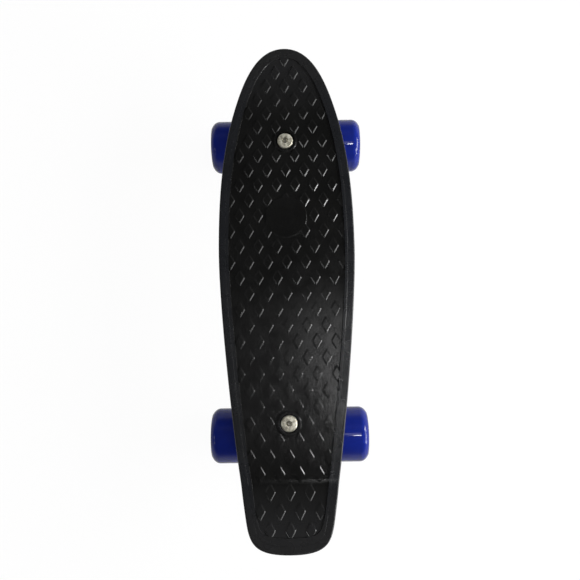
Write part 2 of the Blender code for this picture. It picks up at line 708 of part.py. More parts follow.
def axle_mesh():
    radius, tip = axle_radius, axle_radius - AXLE_CHAMFER
    profile = [(0, axle_half), (tip, axle_half), (radius, axle_half - AXLE_CHAMFER)]
    profile += [(radius, AXLE_CHAMFER - axle_half), (tip, -axle_half), (0, -axle_half)]
    return shade(settled(turned("axle", profile, COARSE)))


def wheel_mesh():
    """Cast urethane tyre and hub in one, its Z along the axle and its outer face up."""
    half = WHEEL_WIDTH / 2
    tread = WHEEL_DIAMETER / 2 / math.cos(math.pi / FINE)
    mouth = HUB_MOUTH_DIAMETER / 2
    seat = BEARING_DIAMETER / 2 + GAP
    rib = HUB_RIB_BORE / 2
    rib_top = -BEARING_SHIFT + BEARING_SPREAD / 2 - GAP
    rib_under = -BEARING_SHIFT - BEARING_SPREAD / 2 + GAP
    shoulder = tread - WHEEL_CORNER
    slope = WHEEL_CORNER * (1 - math.sqrt(0.5))
    outer = [(mouth, half), (mouth + WHEEL_DOME, half), (shoulder, half - WHEEL_DOME),
             (tread - slope, half - WHEEL_DOME - slope), (tread, half - WHEEL_DOME - WHEEL_CORNER)]
    inner = [(tread, WHEEL_CORNER - half), (tread - slope, slope - half), (shoulder, -half), (seat, -half)]
    bore = [(seat, rib_under), (rib, rib_under), (rib, rib_top), (seat, rib_top),
            (seat, outer_bearing_face + GAP)]
    return shade(settled(turned("wheel", outer + inner + bore, FINE, closed=True)))


def outer_ring_mesh():
    """Outer ring of a ball bearing, with a groove for its balls and a shield pressed in each side."""
    half, outer, bore = BEARING_WIDTH / 2, BEARING_DIAMETER / 2, OUTER_RING_BORE / 2
    groove = BALL_DIAMETER / 2 * GROOVE_SHARE
    bottom = (bore + outer) / 2
    shield = INNER_RING_DIAMETER / 2 + SHIELD_GAP
    shield_back = half - SHIELD_THICKNESS
    profile = [(outer, half), (outer, -half), (shield, -half), (shield, -shield_back), (bore, -shield_back),
               (bore, -groove), (bottom, 0), (bore, groove), (bore, shield_back), (shield, shield_back),
               (shield, half)]
    return shade(settled(turned("outer ring", profile, COARSE, closed=True)))


def inner_ring_mesh():
    """Inner ring of a ball bearing, clamped on the axle."""
    half, outer, bore = BEARING_WIDTH / 2, INNER_RING_DIAMETER / 2, BEARING_BORE / 2
    groove = BALL_DIAMETER / 2 * GROOVE_SHARE
    bottom = (bore + outer) / 2
    profile = [(outer, half), (outer, groove), (bottom, 0), (outer, -groove), (outer, -half), (bore, -half),
               (bore, half)]
    return shade(settled(turned("inner ring", profile, COARSE, closed=True)))


def ball_cage_mesh():
    """Seven balls held at even spacing by a thin cage, as one piece."""
    middle = BALL_CIRCLE / 2
    inner, outer, half = middle - CAGE_WALL / 2, middle + CAGE_WALL / 2, CAGE_WIDTH / 2
    cage = turned("ball cage", [(outer, half), (outer, -half), (inner, -half), (inner, half)],
                  BALL_COUNT, closed=True)
    bm = bmesh.new()
    for ball in range(BALL_COUNT):
        turn = Matrix.Rotation(2 * math.pi * (ball + 0.5) / BALL_COUNT, 4, "Z")
        bmesh.ops.create_icosphere(bm, subdivisions=1, radius=BALL_DIAMETER / 2,
                                   matrix=turn @ Matrix.Translation((middle, 0, 0)))
    boolean(cage, guide("balls", mesh_of("balls", bm)), "UNION")
    return shade(settled(cage))


def axle_washer_mesh():
    outer, hole = AXLE_WASHER_DIAMETER / 2, axle_radius + GAP
    profile = [(outer, 0), (outer, -AXLE_WASHER_THICKNESS), (hole, -AXLE_WASHER_THICKNESS), (hole, 0)]
    return shade(settled(turned("axle washer", profile, COARSE, closed=True)))


def build_wheel(name, truck, side, shapes):
    """One wheel with its bearings, washer and nut, on the axle's end at this side of its truck."""
    centre = Vector((side * TRACK / 2, AXLE_SETBACK, -RING_ABOVE_AXLE))
    hub = new_empty(name + " hub", centre)
    hub.parent = truck
    hub.rotation_euler = (0, math.pi / 2, 0 if side > 0 else math.pi)
    place(name + "_wheel", shapes["wheel"], wheel_plastic, hub)
    for where, face in (("outboard", outer_bearing_face), ("inboard", inner_bearing_face + BEARING_WIDTH)):
        middle = (0, 0, face - BEARING_WIDTH / 2)
        place(name + "_" + where + "_outer_ring", shapes["outer ring"], bearing_steel, hub, middle)
        place(name + "_" + where + "_inner_ring", shapes["inner ring"], bearing_steel, hub, middle)
        place(name + "_" + where + "_ball_cage", shapes["ball cage"], cage_brass, hub, middle)
    place(name + "_axle_washer", shapes["axle washer"], bright_steel, hub, (0, 0, axle_washer_face))
    place(name + "_axle_nut", shapes["axle nut"], bright_steel, hub, (0, 0, axle_washer_face + GAP))


def build_truck(name, y, turn, shapes):
    """One truck, in a frame whose origin is the middle of the hanger's ring and whose +Y is outboard."""
    truck = new_empty(name + " truck", (0, y, ring_height), turn)
    place(name + "_base_plate", shapes["base plate"], truck_black, truck)
    place(name + "_pivot_cup", shapes["pivot cup"], bushing_white, truck,
          rotation=(STEER_RISE - math.pi / 2, 0, 0))
    place(name + "_kingpin_bolt", shapes["kingpin bolt"], bright_steel, truck)
    place(name + "_upper_cup_washer", shapes["cup washer"], bright_steel, truck, (0, 0, upper_washer_top))
    place(name + "_upper_bushing", shapes["upper bushing"], bushing_rubber, truck, (0, 0, upper_bushing_top))
    place(name + "_hanger", shapes["hanger"], cast_metal, truck)
    place(name + "_lower_bushing", shapes["lower bushing"], bushing_rubber, truck,
          (0, 0, lower_bushing_under), (math.pi, 0, 0))
    place(name + "_lower_cup_washer", shapes["cup washer"], bright_steel, truck,
          (0, 0, lower_washer_under), (math.pi, 0, 0))
    place(name + "_kingpin_nut", shapes["kingpin nut"], bright_steel, truck, (0, 0, kingpin_nut_top),
          (math.pi, 0, 0))
    place(name + "_axle", shapes["axle"], bright_steel, truck, (0, AXLE_SETBACK, -RING_ABOVE_AXLE),
          (0, math.pi / 2, 0))
    facing = 1 if turn == 0 else -1
    for side, word in ((-facing, "left"), (facing, "right")):
        build_wheel(name + "_" + word, truck, side, shapes)


for old in list(bpy.data.objects):
    bpy.data.objects.remove(old)
parts = new_collection("mini_skateboard")
cutters = new_collection("cutters")

deck_plastic = new_material("deck plastic", DECK_BLACK, 0.32)
wheel_plastic = new_material("wheel urethane", WHEEL_BLUE, 0.18)
bright_steel = new_material("bright steel", BRIGHT_STEEL, 0.35, 1.0)
bearing_steel = new_material("bearing steel", BEARING_STEEL, 0.2, 1.0)
cast_metal = new_material("cast metal", CAST_METAL, 0.5, 1.0)
truck_black = new_material("base plate plastic", TRUCK_BLACK, 0.5)
bushing_rubber = new_material("bushing rubber", RUBBER_BLACK, 0.6)
bushing_white = new_material("pivot cup plastic", BUSHING_WHITE, 0.45)
cage_brass = new_material("cage brass", CAGE_BRASS, 0.35, 1.0)

build_deck()
piece_shapes = {
    "base plate": base_plate_mesh(),
    "pivot cup": pivot_cup_mesh(),
    "kingpin bolt": kingpin_mesh(),
    "cup washer": cup_washer_mesh(),
    "upper bushing": bushing_mesh("upper bushing", UPPER_BUSHING_HEIGHT, BUSHING_DIAMETER),
    "lower bushing": bushing_mesh("lower bushing", LOWER_BUSHING_HEIGHT, LOWER_BUSHING_TIP),
    "hanger": hanger_mesh(),
    "kingpin nut": nut_mesh("kingpin nut", KINGPIN_NUT_HEIGHT, KINGPIN_DIAMETER / 2 + GAP,
                            LOCK_COLLAR_HEIGHT),
    "axle": axle_mesh(),
    "wheel": wheel_mesh(),
    "outer ring": outer_ring_mesh(),
    "inner ring": inner_ring_mesh(),
    "ball cage": ball_cage_mesh(),
    "axle washer": axle_washer_mesh(),
    "axle nut": nut_mesh("axle nut", AXLE_NUT_HEIGHT, axle_radius + GAP, 0),
}
build_truck("front", front_bolt_y, 0.0, piece_shapes)
build_truck("rear", rear_bolt_y, math.pi, piece_shapes)
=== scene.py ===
"""The dressed mini skateboard, in the order in which it is put together.

First comes the moulded deck, then what its two trucks are made of, from the bolt through the deck
down to the wheels, and at the end the floor, the lamps and the camera. Sizes are in metres, mostly
written as millimetres times MM. X runs across the board, +Y points to the nose and +Z up.
"""
import json
import math

import bmesh
import bpy
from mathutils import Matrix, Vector


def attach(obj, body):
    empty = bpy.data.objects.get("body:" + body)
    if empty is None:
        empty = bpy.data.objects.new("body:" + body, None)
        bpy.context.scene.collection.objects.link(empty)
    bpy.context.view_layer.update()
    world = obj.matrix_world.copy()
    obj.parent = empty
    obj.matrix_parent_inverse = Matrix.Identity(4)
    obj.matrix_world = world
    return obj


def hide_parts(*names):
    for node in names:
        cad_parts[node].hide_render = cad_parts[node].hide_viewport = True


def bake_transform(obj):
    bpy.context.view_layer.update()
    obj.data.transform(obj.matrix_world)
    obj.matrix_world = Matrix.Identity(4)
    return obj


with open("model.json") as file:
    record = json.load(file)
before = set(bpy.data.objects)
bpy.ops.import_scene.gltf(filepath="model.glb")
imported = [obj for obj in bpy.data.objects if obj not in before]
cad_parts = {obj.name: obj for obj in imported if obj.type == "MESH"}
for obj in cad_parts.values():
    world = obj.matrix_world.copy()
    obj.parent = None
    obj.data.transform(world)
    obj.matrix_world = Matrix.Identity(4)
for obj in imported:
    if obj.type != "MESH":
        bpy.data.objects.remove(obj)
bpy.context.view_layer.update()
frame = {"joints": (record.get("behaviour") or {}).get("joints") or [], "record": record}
MM = 0.001

# The deck is one hollow moulding in black plastic. It is drawn flat from its outline, as a slab
# with a smooth margin, a sunk field of raised lozenges and a ribbed, open underside, and then the
# tail is kicked up and the nose lifted.
FIELD_HEIGHT = 81.5 * MM
MARGIN_HEIGHT = 82.5 * MM
SKIRT_HEIGHT = 70.0 * MM
CEILING_HEIGHT = 77.0 * MM
TOP_EDGE_ROUNDING = 1.6 * MM
LOW_EDGE_ROUNDING = 0.8 * MM
BAND_OUTSIDE_GROOVE = 4.2 * MM
BAND_INSIDE_GROOVE = 2.3 * MM
HALF_GROOVE = 0.25 * MM
GROOVE_DEPTH = 0.15 * MM
STEP_SLOPE = 0.4 * MM
FIELD_EDGE_ROUNDING = 0.12 * MM
SKIRT_WALL = 2.4 * MM
WALL_SLOPE = 0.8 * MM
TAIL_START = -187.4 * MM
TAIL_FIELD_NARROWING = 0.849
# The working model's joints say where the bolts and the wheels are, and its mount where the disc is.
pivots = {joint["name"]: joint["pos_m"] for joint in frame["joints"]}
BOLT_PLACES = {end: pivots[end + "_lean"][1] for end in ("front", "rear")}
DISC_PLACE = frame["record"]["mounts"][0]["pos_m"][1]


def choose(piece):
    """Make one piece the active one, with nothing else selected."""
    bpy.ops.object.select_all(action="DESELECT")
    bpy.context.view_layer.objects.active = piece
    piece.select_set(True)


def edit(piece):
    """Work on one piece in edit mode."""
    if bpy.context.object and bpy.context.object.mode == "EDIT":
        bpy.ops.object.mode_set(mode="OBJECT")
    choose(piece)
    bpy.ops.object.mode_set(mode="EDIT")


def done():
    """Leave edit mode and give back the piece."""
    bpy.ops.object.mode_set(mode="OBJECT")
    return bpy.context.object


def pick(kind, test):
    """In edit mode, select only those faces, edges or vertices that a test picks."""
    bpy.ops.mesh.select_mode(type=kind)
    bpy.ops.mesh.select_all(action="DESELECT")
    shape = bmesh.from_edit_mesh(bpy.context.object.data)
    for element in {"FACE": shape.faces, "EDGE": shape.edges, "VERT": shape.verts}[kind]:
        element.select_set(bool(test(element)))
    shape.select_flush_mode()
    bmesh.update_edit_mesh(bpy.context.object.data)


def near(value, target):
    """Whether two sizes are the same but for rounding."""
    return abs(value - target) < 0.02 * MM


def level(element, height):
    """Whether all of a face or an edge lies at one height."""
    return all(near(vertex.co.z, height) for vertex in element.verts)


def new_piece(name, piece):
    """Name a fresh primitive, and clear the selection that it comes with."""
    piece.name = name
    piece.data.name = name
    bpy.ops.object.select_all(action="DESELECT")
    return piece


def fixed(piece):
    """Put a piece's place, turn and scale into its mesh."""
    choose(piece)
    bpy.ops.object.transform_apply(location=True, rotation=True, scale=True)
    return piece


def placed(piece, location, rotation=(0, 0, 0)):
    """Move and turn a piece, and put that into its mesh."""
    piece.location = location
    piece.rotation_euler = rotation
    return fixed(piece)


def finish_step(piece, kind, **settings):
    """Add one modifier to a piece and apply it."""
    step = piece.modifiers.new(kind, kind)
    for setting, value in settings.items():
        setattr(step, setting, value)
    choose(piece)
    bpy.ops.object.modifier_apply(modifier=step.name)
    return piece


def carve(piece, tool, operation):
    """Join a shape to a piece or cut it out, and use the shape up."""
    finish_step(piece, "BOOLEAN", object=tool, operation=operation, solver="EXACT")
    bpy.data.objects.remove(tool)
    return piece


def joined(pieces):
    """Make several shapes one object."""
    bpy.ops.object.select_all(action="DESELECT")
    for piece in pieces:
        piece.select_set(True)
    bpy.context.view_layer.objects.active = pieces[0]
    bpy.ops.object.join()
    return pieces[0]


def copy_of(piece, name, location=(0, 0, 0), rotation=(0, 0, 0)):
    """A copy of a piece with its own mesh, moved and turned."""
    twin = piece.copy()
    twin.data = piece.data.copy()
    twin.name = name
    twin.data.name = name
    bpy.context.scene.collection.objects.link(twin)
    return placed(twin, location, rotation)


def block(name, low, high, bevel=0.0):
    """A box between two corners, its edges rounded if a bevel is given."""
    centre = [(a + b) / 2 for a, b in zip(low, high)]
    size = [b - a for a, b in zip(low, high)]
    bpy.ops.mesh.primitive_cube_add(size=1, location=centre, scale=size)
    made = fixed(new_piece(name, bpy.context.object))
    if bevel:
        finish_step(made, "BEVEL", width=bevel, segments=2)
    return made


def drum(name, radius, low, high, place=(0, 0)):
    """A plain upright cylinder."""
    bpy.ops.mesh.primitive_cylinder_add(vertices=64, radius=radius, depth=high - low,
                                        location=(*place, (low + high) / 2))
    return fixed(new_piece(name, bpy.context.object))


def smooth(piece):
    """Shade smooth with crisp edges, and keep the broad faces flat."""
    choose(piece)
    bpy.ops.object.shade_smooth_by_angle(angle=math.radians(30))
    return finish_step(piece, "WEIGHTED_NORMAL", keep_sharp=True, weight=80)


# One side of the outline, from nose to tail: each point's place, its compass heading, and how far
# its two handles reach, in millimetres and degrees.
half_outline = [
    (0, 217.2, 0, 26, 26),
    (45.8, 158.6, 74, 29.3, 41.7),
    (59.6, 34, 90, 41.7, 49.4),
    (37.3, -187.4, 100.9, 49.4, 19.9),
    (0, -217.2, 180, 32.7, 32.7),
]
bpy.ops.object.select_all(action="DESELECT")
bpy.ops.curve.primitive_bezier_circle_add(radius=1)
outline = new_piece("moulded_deck", bpy.context.object)
edit(outline)
bpy.ops.curve.select_all(action="SELECT")
bpy.ops.curve.subdivide(number_cuts=1)
done()
stops = half_outline + [(-x, y, 360 - heading, after, before)
                        for x, y, heading, before, after in half_outline[3:0:-1]]
outline.data.resolution_u = 22
for point, (x, y, heading, before, after) in zip(outline.data.splines[0].bezier_points, stops):
    course = Vector((math.cos(math.radians(heading)), -math.sin(math.radians(heading)), 0))
    point.handle_left_type = point.handle_right_type = "FREE"
    point.co = Vector((x, y, 0)) * MM
    point.handle_left = point.co - course * before * MM
    point.handle_right = point.co + course * after * MM
outline.select_set(True)
bpy.context.view_layer.objects.active = outline
bpy.ops.object.convert(target="MESH")
deck = bpy.context.object
deck.location.z = MARGIN_HEIGHT
fixed(deck)
edit(deck)
bpy.ops.mesh.select_all(action="SELECT")
bpy.ops.mesh.remove_doubles(threshold=0.01 * MM)
bpy.ops.mesh.edge_face_add()
bpy.ops.mesh.normals_make_consistent(inside=False)
done()
rib_bounds = copy_of(deck, "rib bounds")

edit(deck)
bpy.ops.mesh.select_all(action="SELECT")
bpy.ops.mesh.extrude_region_move(TRANSFORM_OT_translate={"value": (0, 0, SKIRT_HEIGHT - MARGIN_HEIGHT)})
bpy.ops.mesh.select_all(action="SELECT")
bpy.ops.mesh.normals_make_consistent(inside=False)
pick("EDGE", lambda edge: level(edge, MARGIN_HEIGHT))
bpy.ops.mesh.bevel(offset=TOP_EDGE_ROUNDING, segments=5)
pick("EDGE", lambda edge: level(edge, SKIRT_HEIGHT))
bpy.ops.mesh.bevel(offset=LOW_EDGE_ROUNDING, segments=3)
pick("FACE", lambda face: level(face, MARGIN_HEIGHT))
bpy.ops.mesh.inset(thickness=BAND_OUTSIDE_GROOVE)
bpy.ops.mesh.inset(thickness=HALF_GROOVE, depth=-GROOVE_DEPTH)
bpy.ops.mesh.inset(thickness=HALF_GROOVE, depth=GROOVE_DEPTH)
bpy.ops.mesh.inset(thickness=BAND_INSIDE_GROOVE)
field = max(bmesh.from_edit_mesh(deck.data).faces, key=lambda face: face.normal.z * face.calc_area())
rim = {vertex.index for vertex in field.verts}
pick("VERT", lambda vertex: vertex.index in rim and vertex.co.y < TAIL_START)
bpy.ops.transform.resize(value=(1, TAIL_FIELD_NARROWING, 1), center_override=(0, TAIL_START, MARGIN_HEIGHT))
pick("FACE", lambda face: face.normal.z > -0.5 and {vertex.index for vertex in face.verts} != rim)
bpy.ops.object.material_slot_add()
bpy.ops.object.material_slot_add()
bpy.context.object.active_material_index = 1
bpy.ops.object.material_slot_assign()
pick("FACE", lambda face: {vertex.index for vertex in face.verts} == rim)
field_rim = [loop.vert.co.xy.copy() for face in bmesh.from_edit_mesh(deck.data).faces if face.select
             for loop in face.loops]
bpy.ops.mesh.inset(thickness=STEP_SLOPE, depth=FIELD_HEIGHT - MARGIN_HEIGHT)
pick("EDGE", lambda edge: len({face.index for face in edge.link_faces if len(face.verts) > 100}) == 1
     and (level(edge, FIELD_HEIGHT) or {vertex.index for vertex in edge.verts} <= rim))
bpy.ops.mesh.bevel(offset=FIELD_EDGE_ROUNDING, segments=2)
pick("FACE", lambda face: level(face, SKIRT_HEIGHT) and face.normal.z < -0.5)
bpy.ops.mesh.inset(thickness=SKIRT_WALL)
bpy.ops.mesh.inset(thickness=WALL_SLOPE, depth=SKIRT_HEIGHT - CEILING_HEIGHT)
done()

# Ribs stiffen it from below, along it and across. They end in the skirt's wall.
RIB_MARGIN = 2 * MM
BELOW_RIBS = -30 * MM
edit(rib_bounds)
bpy.ops.mesh.select_all(action="SELECT")
bpy.ops.mesh.inset(thickness=RIB_MARGIN)
bpy.ops.mesh.select_all(action="INVERT")
bpy.ops.mesh.delete(type="FACE")
bpy.ops.mesh.select_all(action="SELECT")
bpy.ops.mesh.extrude_region_move(TRANSFORM_OT_translate={"value": (0, 0, BELOW_RIBS)})
bpy.ops.mesh.select_all(action="SELECT")
bpy.ops.mesh.normals_make_consistent(inside=False)
done()
rib_low, rib_high = CEILING_HEIGHT - 5.5 * MM, CEILING_HEIGHT + 0.8 * MM
past_ends, past_sides = 0.22, 0.06
HALF_RIB = 1.2 * MM
RIB_ROUNDING = 0.4 * MM
RIB_SPACING = 40 * MM
ribs = None
for x in (-14.0 * MM, 14.0 * MM):
    rib = block("rib", (x - HALF_RIB, -past_ends, rib_low), (x + HALF_RIB, past_ends, rib_high),
                RIB_ROUNDING)
    ribs = carve(ribs, rib, "UNION") if ribs else rib
for step in range(-7, 4):
    y = DISC_PLACE + step * RIB_SPACING
    rib = block("rib", (-past_sides, y - HALF_RIB, rib_low), (past_sides, y + HALF_RIB, rib_high),
                RIB_ROUNDING)
    ribs = carve(ribs, rib, "UNION")
carve(ribs, rib_bounds, "INTERSECT")
carve(deck, ribs, "UNION")

# A walled pocket round each kingpin takes a truck's base plate.
HALF_PLATE = 21 * MM
PLATE_INBOARD = 19 * MM
PLATE_OUTBOARD = 40 * MM
PLATE_TOP = 74.2 * MM
PLATE_CLEARANCE = 0.3 * MM
POCKET_WALL = 3 * MM
half_pocket = HALF_PLATE + PLATE_CLEARANCE
for end, y in BOLT_PLACES.items():
    outboard = 1 if end == "front" else -1
    low, high = sorted((y - outboard * (PLATE_INBOARD + PLATE_CLEARANCE),
                        y + outboard * (PLATE_OUTBOARD + PLATE_CLEARANCE)))
    walls = block("pocket walls", (-half_pocket - POCKET_WALL, low - POCKET_WALL, 70.3 * MM),
                  (half_pocket + POCKET_WALL, high + POCKET_WALL, rib_high), 0.6 * MM)
    hollow = block("pocket", (-half_pocket, low, 50 * MM), (half_pocket, high, PLATE_TOP + PLATE_CLEARANCE))
    carve(deck, walls, "UNION")
    carve(deck, hollow, "DIFFERENCE")


def field_reach(y):
    """How far the sunk field reaches from the middle, at this place along the board."""
    reach = 0.0
    for here, ahead in zip(field_rim, field_rim[1:] + field_rim[:1]):
        if min(here.y, ahead.y) <= y < max(here.y, ahead.y):
            reach = max(reach, abs(here.x + (ahead.x - here.x) * (y - here.y) / (ahead.y - here.y)))
    return reach


# One lozenge: a low four-sided cone without its point, its corners and its top edge rounded. Half of
# it stays in the plastic. The rows draw together towards the lifted nose.
LOZENGE_RISE = 0.8 * MM
HALF_LOZENGE = (4.6 * MM, 7.7 * MM)
ROW_SPACING = 13.87 * MM
COLUMN_SPACING = 16.5 * MM
ROW_TIGHTENING = 0.085 * MM
bpy.ops.mesh.primitive_cone_add(vertices=4, radius1=1.24, radius2=0.76, depth=2 * LOZENGE_RISE,
                                location=(0, 0, FIELD_HEIGHT), scale=(*HALF_LOZENGE, 1))
lozenge = fixed(new_piece("lozenge", bpy.context.object))
edit(lozenge)
pick("EDGE", lambda edge: not near(edge.verts[0].co.z, edge.verts[1].co.z))
bpy.ops.mesh.bevel(offset=0.7 * MM, segments=3)
pick("EDGE", lambda edge: level(edge, FIELD_HEIGHT + LOZENGE_RISE))
bpy.ops.mesh.bevel(offset=0.3 * MM, segments=2)
done()
lozenges = []
for row in range(-8, 25):
    y = BOLT_PLACES["rear"] + ROW_SPACING * row - ROW_TIGHTENING * max(0, row - 14) ** 2
    for column in range(-4, 5):
        x = (column + 0.5 * (row % 2)) * COLUMN_SPACING
        if abs(x) < field_reach(y):
            lozenges.append(copy_of(lozenge, "lozenge", location=(x, y, 0)))
bpy.data.objects.remove(lozenge)
carve(deck, joined(lozenges), "UNION")


def low_boss(name, y, radius, height):
    """A low round boss with a sloping edge, standing on the field."""
    bpy.ops.mesh.primitive_cone_add(vertices=96, radius1=radius + 0.8 * MM, radius2=radius - 0.8 * MM,
                                    depth=2 * height, location=(0, y, FIELD_HEIGHT))
    boss = fixed(new_piece(name, bpy.context.object))
    edit(boss)
    pick("EDGE", lambda edge: level(edge, FIELD_HEIGHT + height))
    bpy.ops.mesh.bevel(offset=0.3 * MM, segments=3)
    return done()


BOLT_HOLE = 4.3
carve(deck, low_boss("disc", DISC_PLACE, 18.6 * MM, 0.9 * MM), "UNION")
for y in BOLT_PLACES.values():
    carve(deck, low_boss("boss", y, 10.7 * MM, 1.1 * MM), "UNION")
    carve(deck, drum("counterbore", 8.2 * MM, 78.6 * MM, 0.1, place=(0, y)), "DIFFERENCE")
    carve(deck, drum("bolt hole", BOLT_HOLE * MM, 0.05, 0.1, place=(0, y)), "DIFFERENCE")

# The moulding is scored across at each bend, and its ends are lifted: the tail sharply, the nose a little.
TAIL_KICK = math.tan(math.radians(21.9))
NOSE_LIFT = 0.12
tail_bends = [(-161.6 - 2.3 * step) * MM for step in range(4)]
nose_bends = [(171.6 + 7 * step) * MM for step in range(7)]
edit(deck)
for y in tail_bends + nose_bends:
    bpy.ops.mesh.select_all(action="SELECT")
    bpy.ops.mesh.bisect(plane_co=(0, y, 0), plane_no=(0, 1, 0), threshold=0.01 * MM)
done()
for vertex in deck.data.vertices:
    vertex.co.z += sum(max(0, y - vertex.co.y) for y in tail_bends) * TAIL_KICK / len(tail_bends)
    vertex.co.z += sum(max(0, vertex.co.y - y) for y in nose_bends) * NOSE_LIFT / len(nose_bends)
smooth(deck)


class Value:
    """One output in a finish's nodes. Sums on it add Math nodes; node() adds any other kind."""

    def __init__(self, socket):
        self.socket = socket

    def node(self, kind, settings, inputs, output=0):
        """Add a node, set it up, then give its sockets their values or links."""
        made = self.socket.id_data.nodes.new("ShaderNode" + kind)
        for setting, value in settings.items():
            setattr(made, setting, value)
        for socket, value in inputs.items():
            if isinstance(value, Value):
                self.socket.id_data.links.new(value.socket, made.inputs[socket])
            else:
                made.inputs[socket].default_value = value
        return Value(made.outputs[output])

    def maths(self, operation, *values):
        """The result of one Math node."""
        return self.node("Math", {"operation": operation}, dict(enumerate(values)))

    def __add__(self, other):
        return self.maths("ADD", self, other)

    def __sub__(self, other):
        return self.maths("SUBTRACT", self, other)

    def __rsub__(self, other):
        return self.maths("SUBTRACT", other, self)

    def __mul__(self, other):
        return self.maths("MULTIPLY", self, other)

    def __pow__(self, other):
        return self.maths("POWER", self, other)

    __radd__ = __add__
    __rmul__ = __mul__

    def noise(self, size, detail=3):
        """Clouds whose lumps are about this many metres across."""
        return self.node("TexNoise", {}, {"Vector": self, "Scale": 1 / size, "Detail": detail})

    def ramp(self, low, high):
        """0 below the low value, 1 above the high one, straight between."""
        inputs = {"Value": self, "From Min": low, "From Max": high}
        return self.node("MapRange", {"clamp": True}, inputs)

    def blend(self, first, second):
        """The first colour where this is 0, the second where it is 1."""
        colours = [value if isinstance(value, Value) else (*value, 1) for value in (first, second)]
        return self.node("Mix", {"data_type": "RGBA"}, {0: self, 6: colours[0], 7: colours[1]}, 2)


def new_finish(name, **constants):
    """A material with its shader's steady values set; gives it, its shader and the place on the piece."""
    finish = bpy.data.materials.new(name)
    finish.use_nodes = True
    shader = finish.node_tree.nodes["Principled BSDF"]
    for socket, value in constants.items():
        shader.inputs[socket.replace("_", " ")].default_value = value
    place = finish.node_tree.nodes.new("ShaderNodeTexCoord")
    return finish, shader, Value(place.outputs["Object"])


def varies(shader, **values):
    """Link what changes over the surface to the shader's sockets."""
    for socket, value in values.items():
        shader.id_data.links.new(value.socket, shader.inputs[socket.replace("_", " ")])


def bumped(height, depth):
    """A Bump node's normal for a height from 0 to 1 that stands this many metres proud."""
    return height.node("Bump", {}, {"Height": height, "Distance": depth, "Strength": 1.0})


# Its plastic is near black and satin: clouded by the flow in the mould, with a fine skin like
# orange peel and unevenly worn. Painted sheen makes it greyer on the lifted nose and the kicked tail,
# and its colour is paler in a band behind the middle. The smooth margin is a little bluer and duller.
deck_finishes = []
for name, dark, pale, satin in (
        ("field_plastic", (0.0032, 0.0032, 0.0031), (0.0056, 0.0056, 0.0054), 0.14),
        ("margin_plastic", (0.0075, 0.0081, 0.0096), (0.0105, 0.0113, 0.0135), 0.22)):
    finish, shader, place = new_finish(name, IOR=1.46)
    flow = place.noise(0.05, detail=4)
    grain = place.noise(0.0011, detail=2)
    worn = place.noise(0.011, detail=2)
    ahead = place.node("SeparateXYZ", {}, {0: place}, 1)
    behind = 0 - ahead
    # The greyer colour on the lifted nose and the kicked tail is painted sheen; the band behind the middle is
    # only paler.
    pale_band = (behind.ramp(0, 0.06) - behind.ramp(0.13, 0.16)) * 0.35
    painted_sheen_and_band = ahead.ramp(0.155, 0.2) + pale_band + behind.ramp(0.168, 0.2)
    varies(shader,
           Base_Color=painted_sheen_and_band.blend(flow.ramp(0.3, 0.7).blend(dark, pale), (0.013, 0.013, 0.0135)),
           Roughness=worn.ramp(0.35, 0.65) * 0.1 + satin,
           Normal=bumped(grain, 0.02 * MM))
    deck_finishes.append(finish)


def fit(piece, finishes, slot, body, *nodes):
    """Give a piece its finish, or more than one, and tie it to its body in the working model."""
    if len(finishes) == 1:
        piece.data.materials.clear()
        piece.data.materials.append(finishes[0])
    for number, finish in enumerate(finishes):
        piece.material_slots[number].material = finish
    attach(piece, body)
    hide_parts(*nodes)


fit(deck, deck_finishes, "deck_plastic", "deck_body", "deck")


# Each truck hangs on a kingpin bolt: bright steel, with a low round head in the deck's counterbore, a
# hexagon socket polished by its punch, and a cut thread where its nut goes on. The front truck is drawn
# facing the nose round an upright line through its bolt, and the rear one is its copy, turned about.
def line_of(name, profile):
    """A line through points of radius and height, drawn point after point from one vertex."""
    bpy.ops.mesh.primitive_plane_add(size=MM)
    made = new_piece(name, bpy.context.object)
    edit(made)
    bpy.ops.mesh.select_mode(type="VERT")
    bpy.ops.mesh.select_all(action="SELECT")
    bpy.ops.mesh.merge(type="CENTER")
    here = Vector((0, 0, 0))
    for number, (radius, height) in enumerate(profile):
        step = Vector((radius, 0, height)) * MM - here
        here += step
        if number:
            bpy.ops.mesh.extrude_vertices_move(TRANSFORM_OT_translate={"value": step})
        else:
            bpy.ops.transform.translate(value=step)
    bpy.ops.mesh.select_all(action="SELECT")
    return made


def clean_up():
    """Merge doubled vertices and turn every face outward."""
    bpy.ops.mesh.select_mode(type="VERT")
    bpy.ops.mesh.select_all(action="SELECT")
    bpy.ops.mesh.remove_doubles(threshold=0.005 * MM)
    bpy.ops.mesh.normals_make_consistent(inside=False)


def turned(name, profile, sides=64, bevel=0.0):
    """A profile of radius and height in millimetres, spun round the upright line."""
    closed = profile if profile[0][0] == 0 else profile + profile[:1]
    made = line_of(name, closed)
    bpy.ops.mesh.spin(steps=sides, angle=2 * math.pi, center=(0, 0, 0), axis=(0, 0, 1))
    clean_up()
    done()
    if bevel:
        finish_step(made, "BEVEL", width=bevel * MM, segments=3, limit_method="ANGLE",
                    angle_limit=math.radians(25))
    return made


def threaded(name, radius, low, high):
    """A metric thread between two heights: one tooth wound up by the screw tool, both ends closed."""
    pitch, depth = 1.25, 0.65
    made = line_of(name, [(radius - depth, high), (radius, high + pitch / 2), (radius - depth, high + pitch)])
    bpy.ops.mesh.screw(steps=36, turns=int((high - low) / pitch) + 2, center=(0, 0, 0), axis=(0, 0, 1))
    clean_up()
    middle = (low + high) / 2 * MM
    for upper in (False, True):
        pick("EDGE", lambda edge: edge.is_boundary and (edge.verts[0].co.z > middle) == upper)
        bpy.ops.mesh.extrude_edges_move()
        bpy.ops.mesh.merge(type="CENTER")
    clean_up()
    done()
    outside, chamfer = radius + 0.1, 0.8
    bounds = turned("thread ends", [(0, high), (outside - chamfer, high), (outside, high - chamfer),
                                    (outside, low), (0, low)])
    return carve(made, bounds, "INTERSECT")


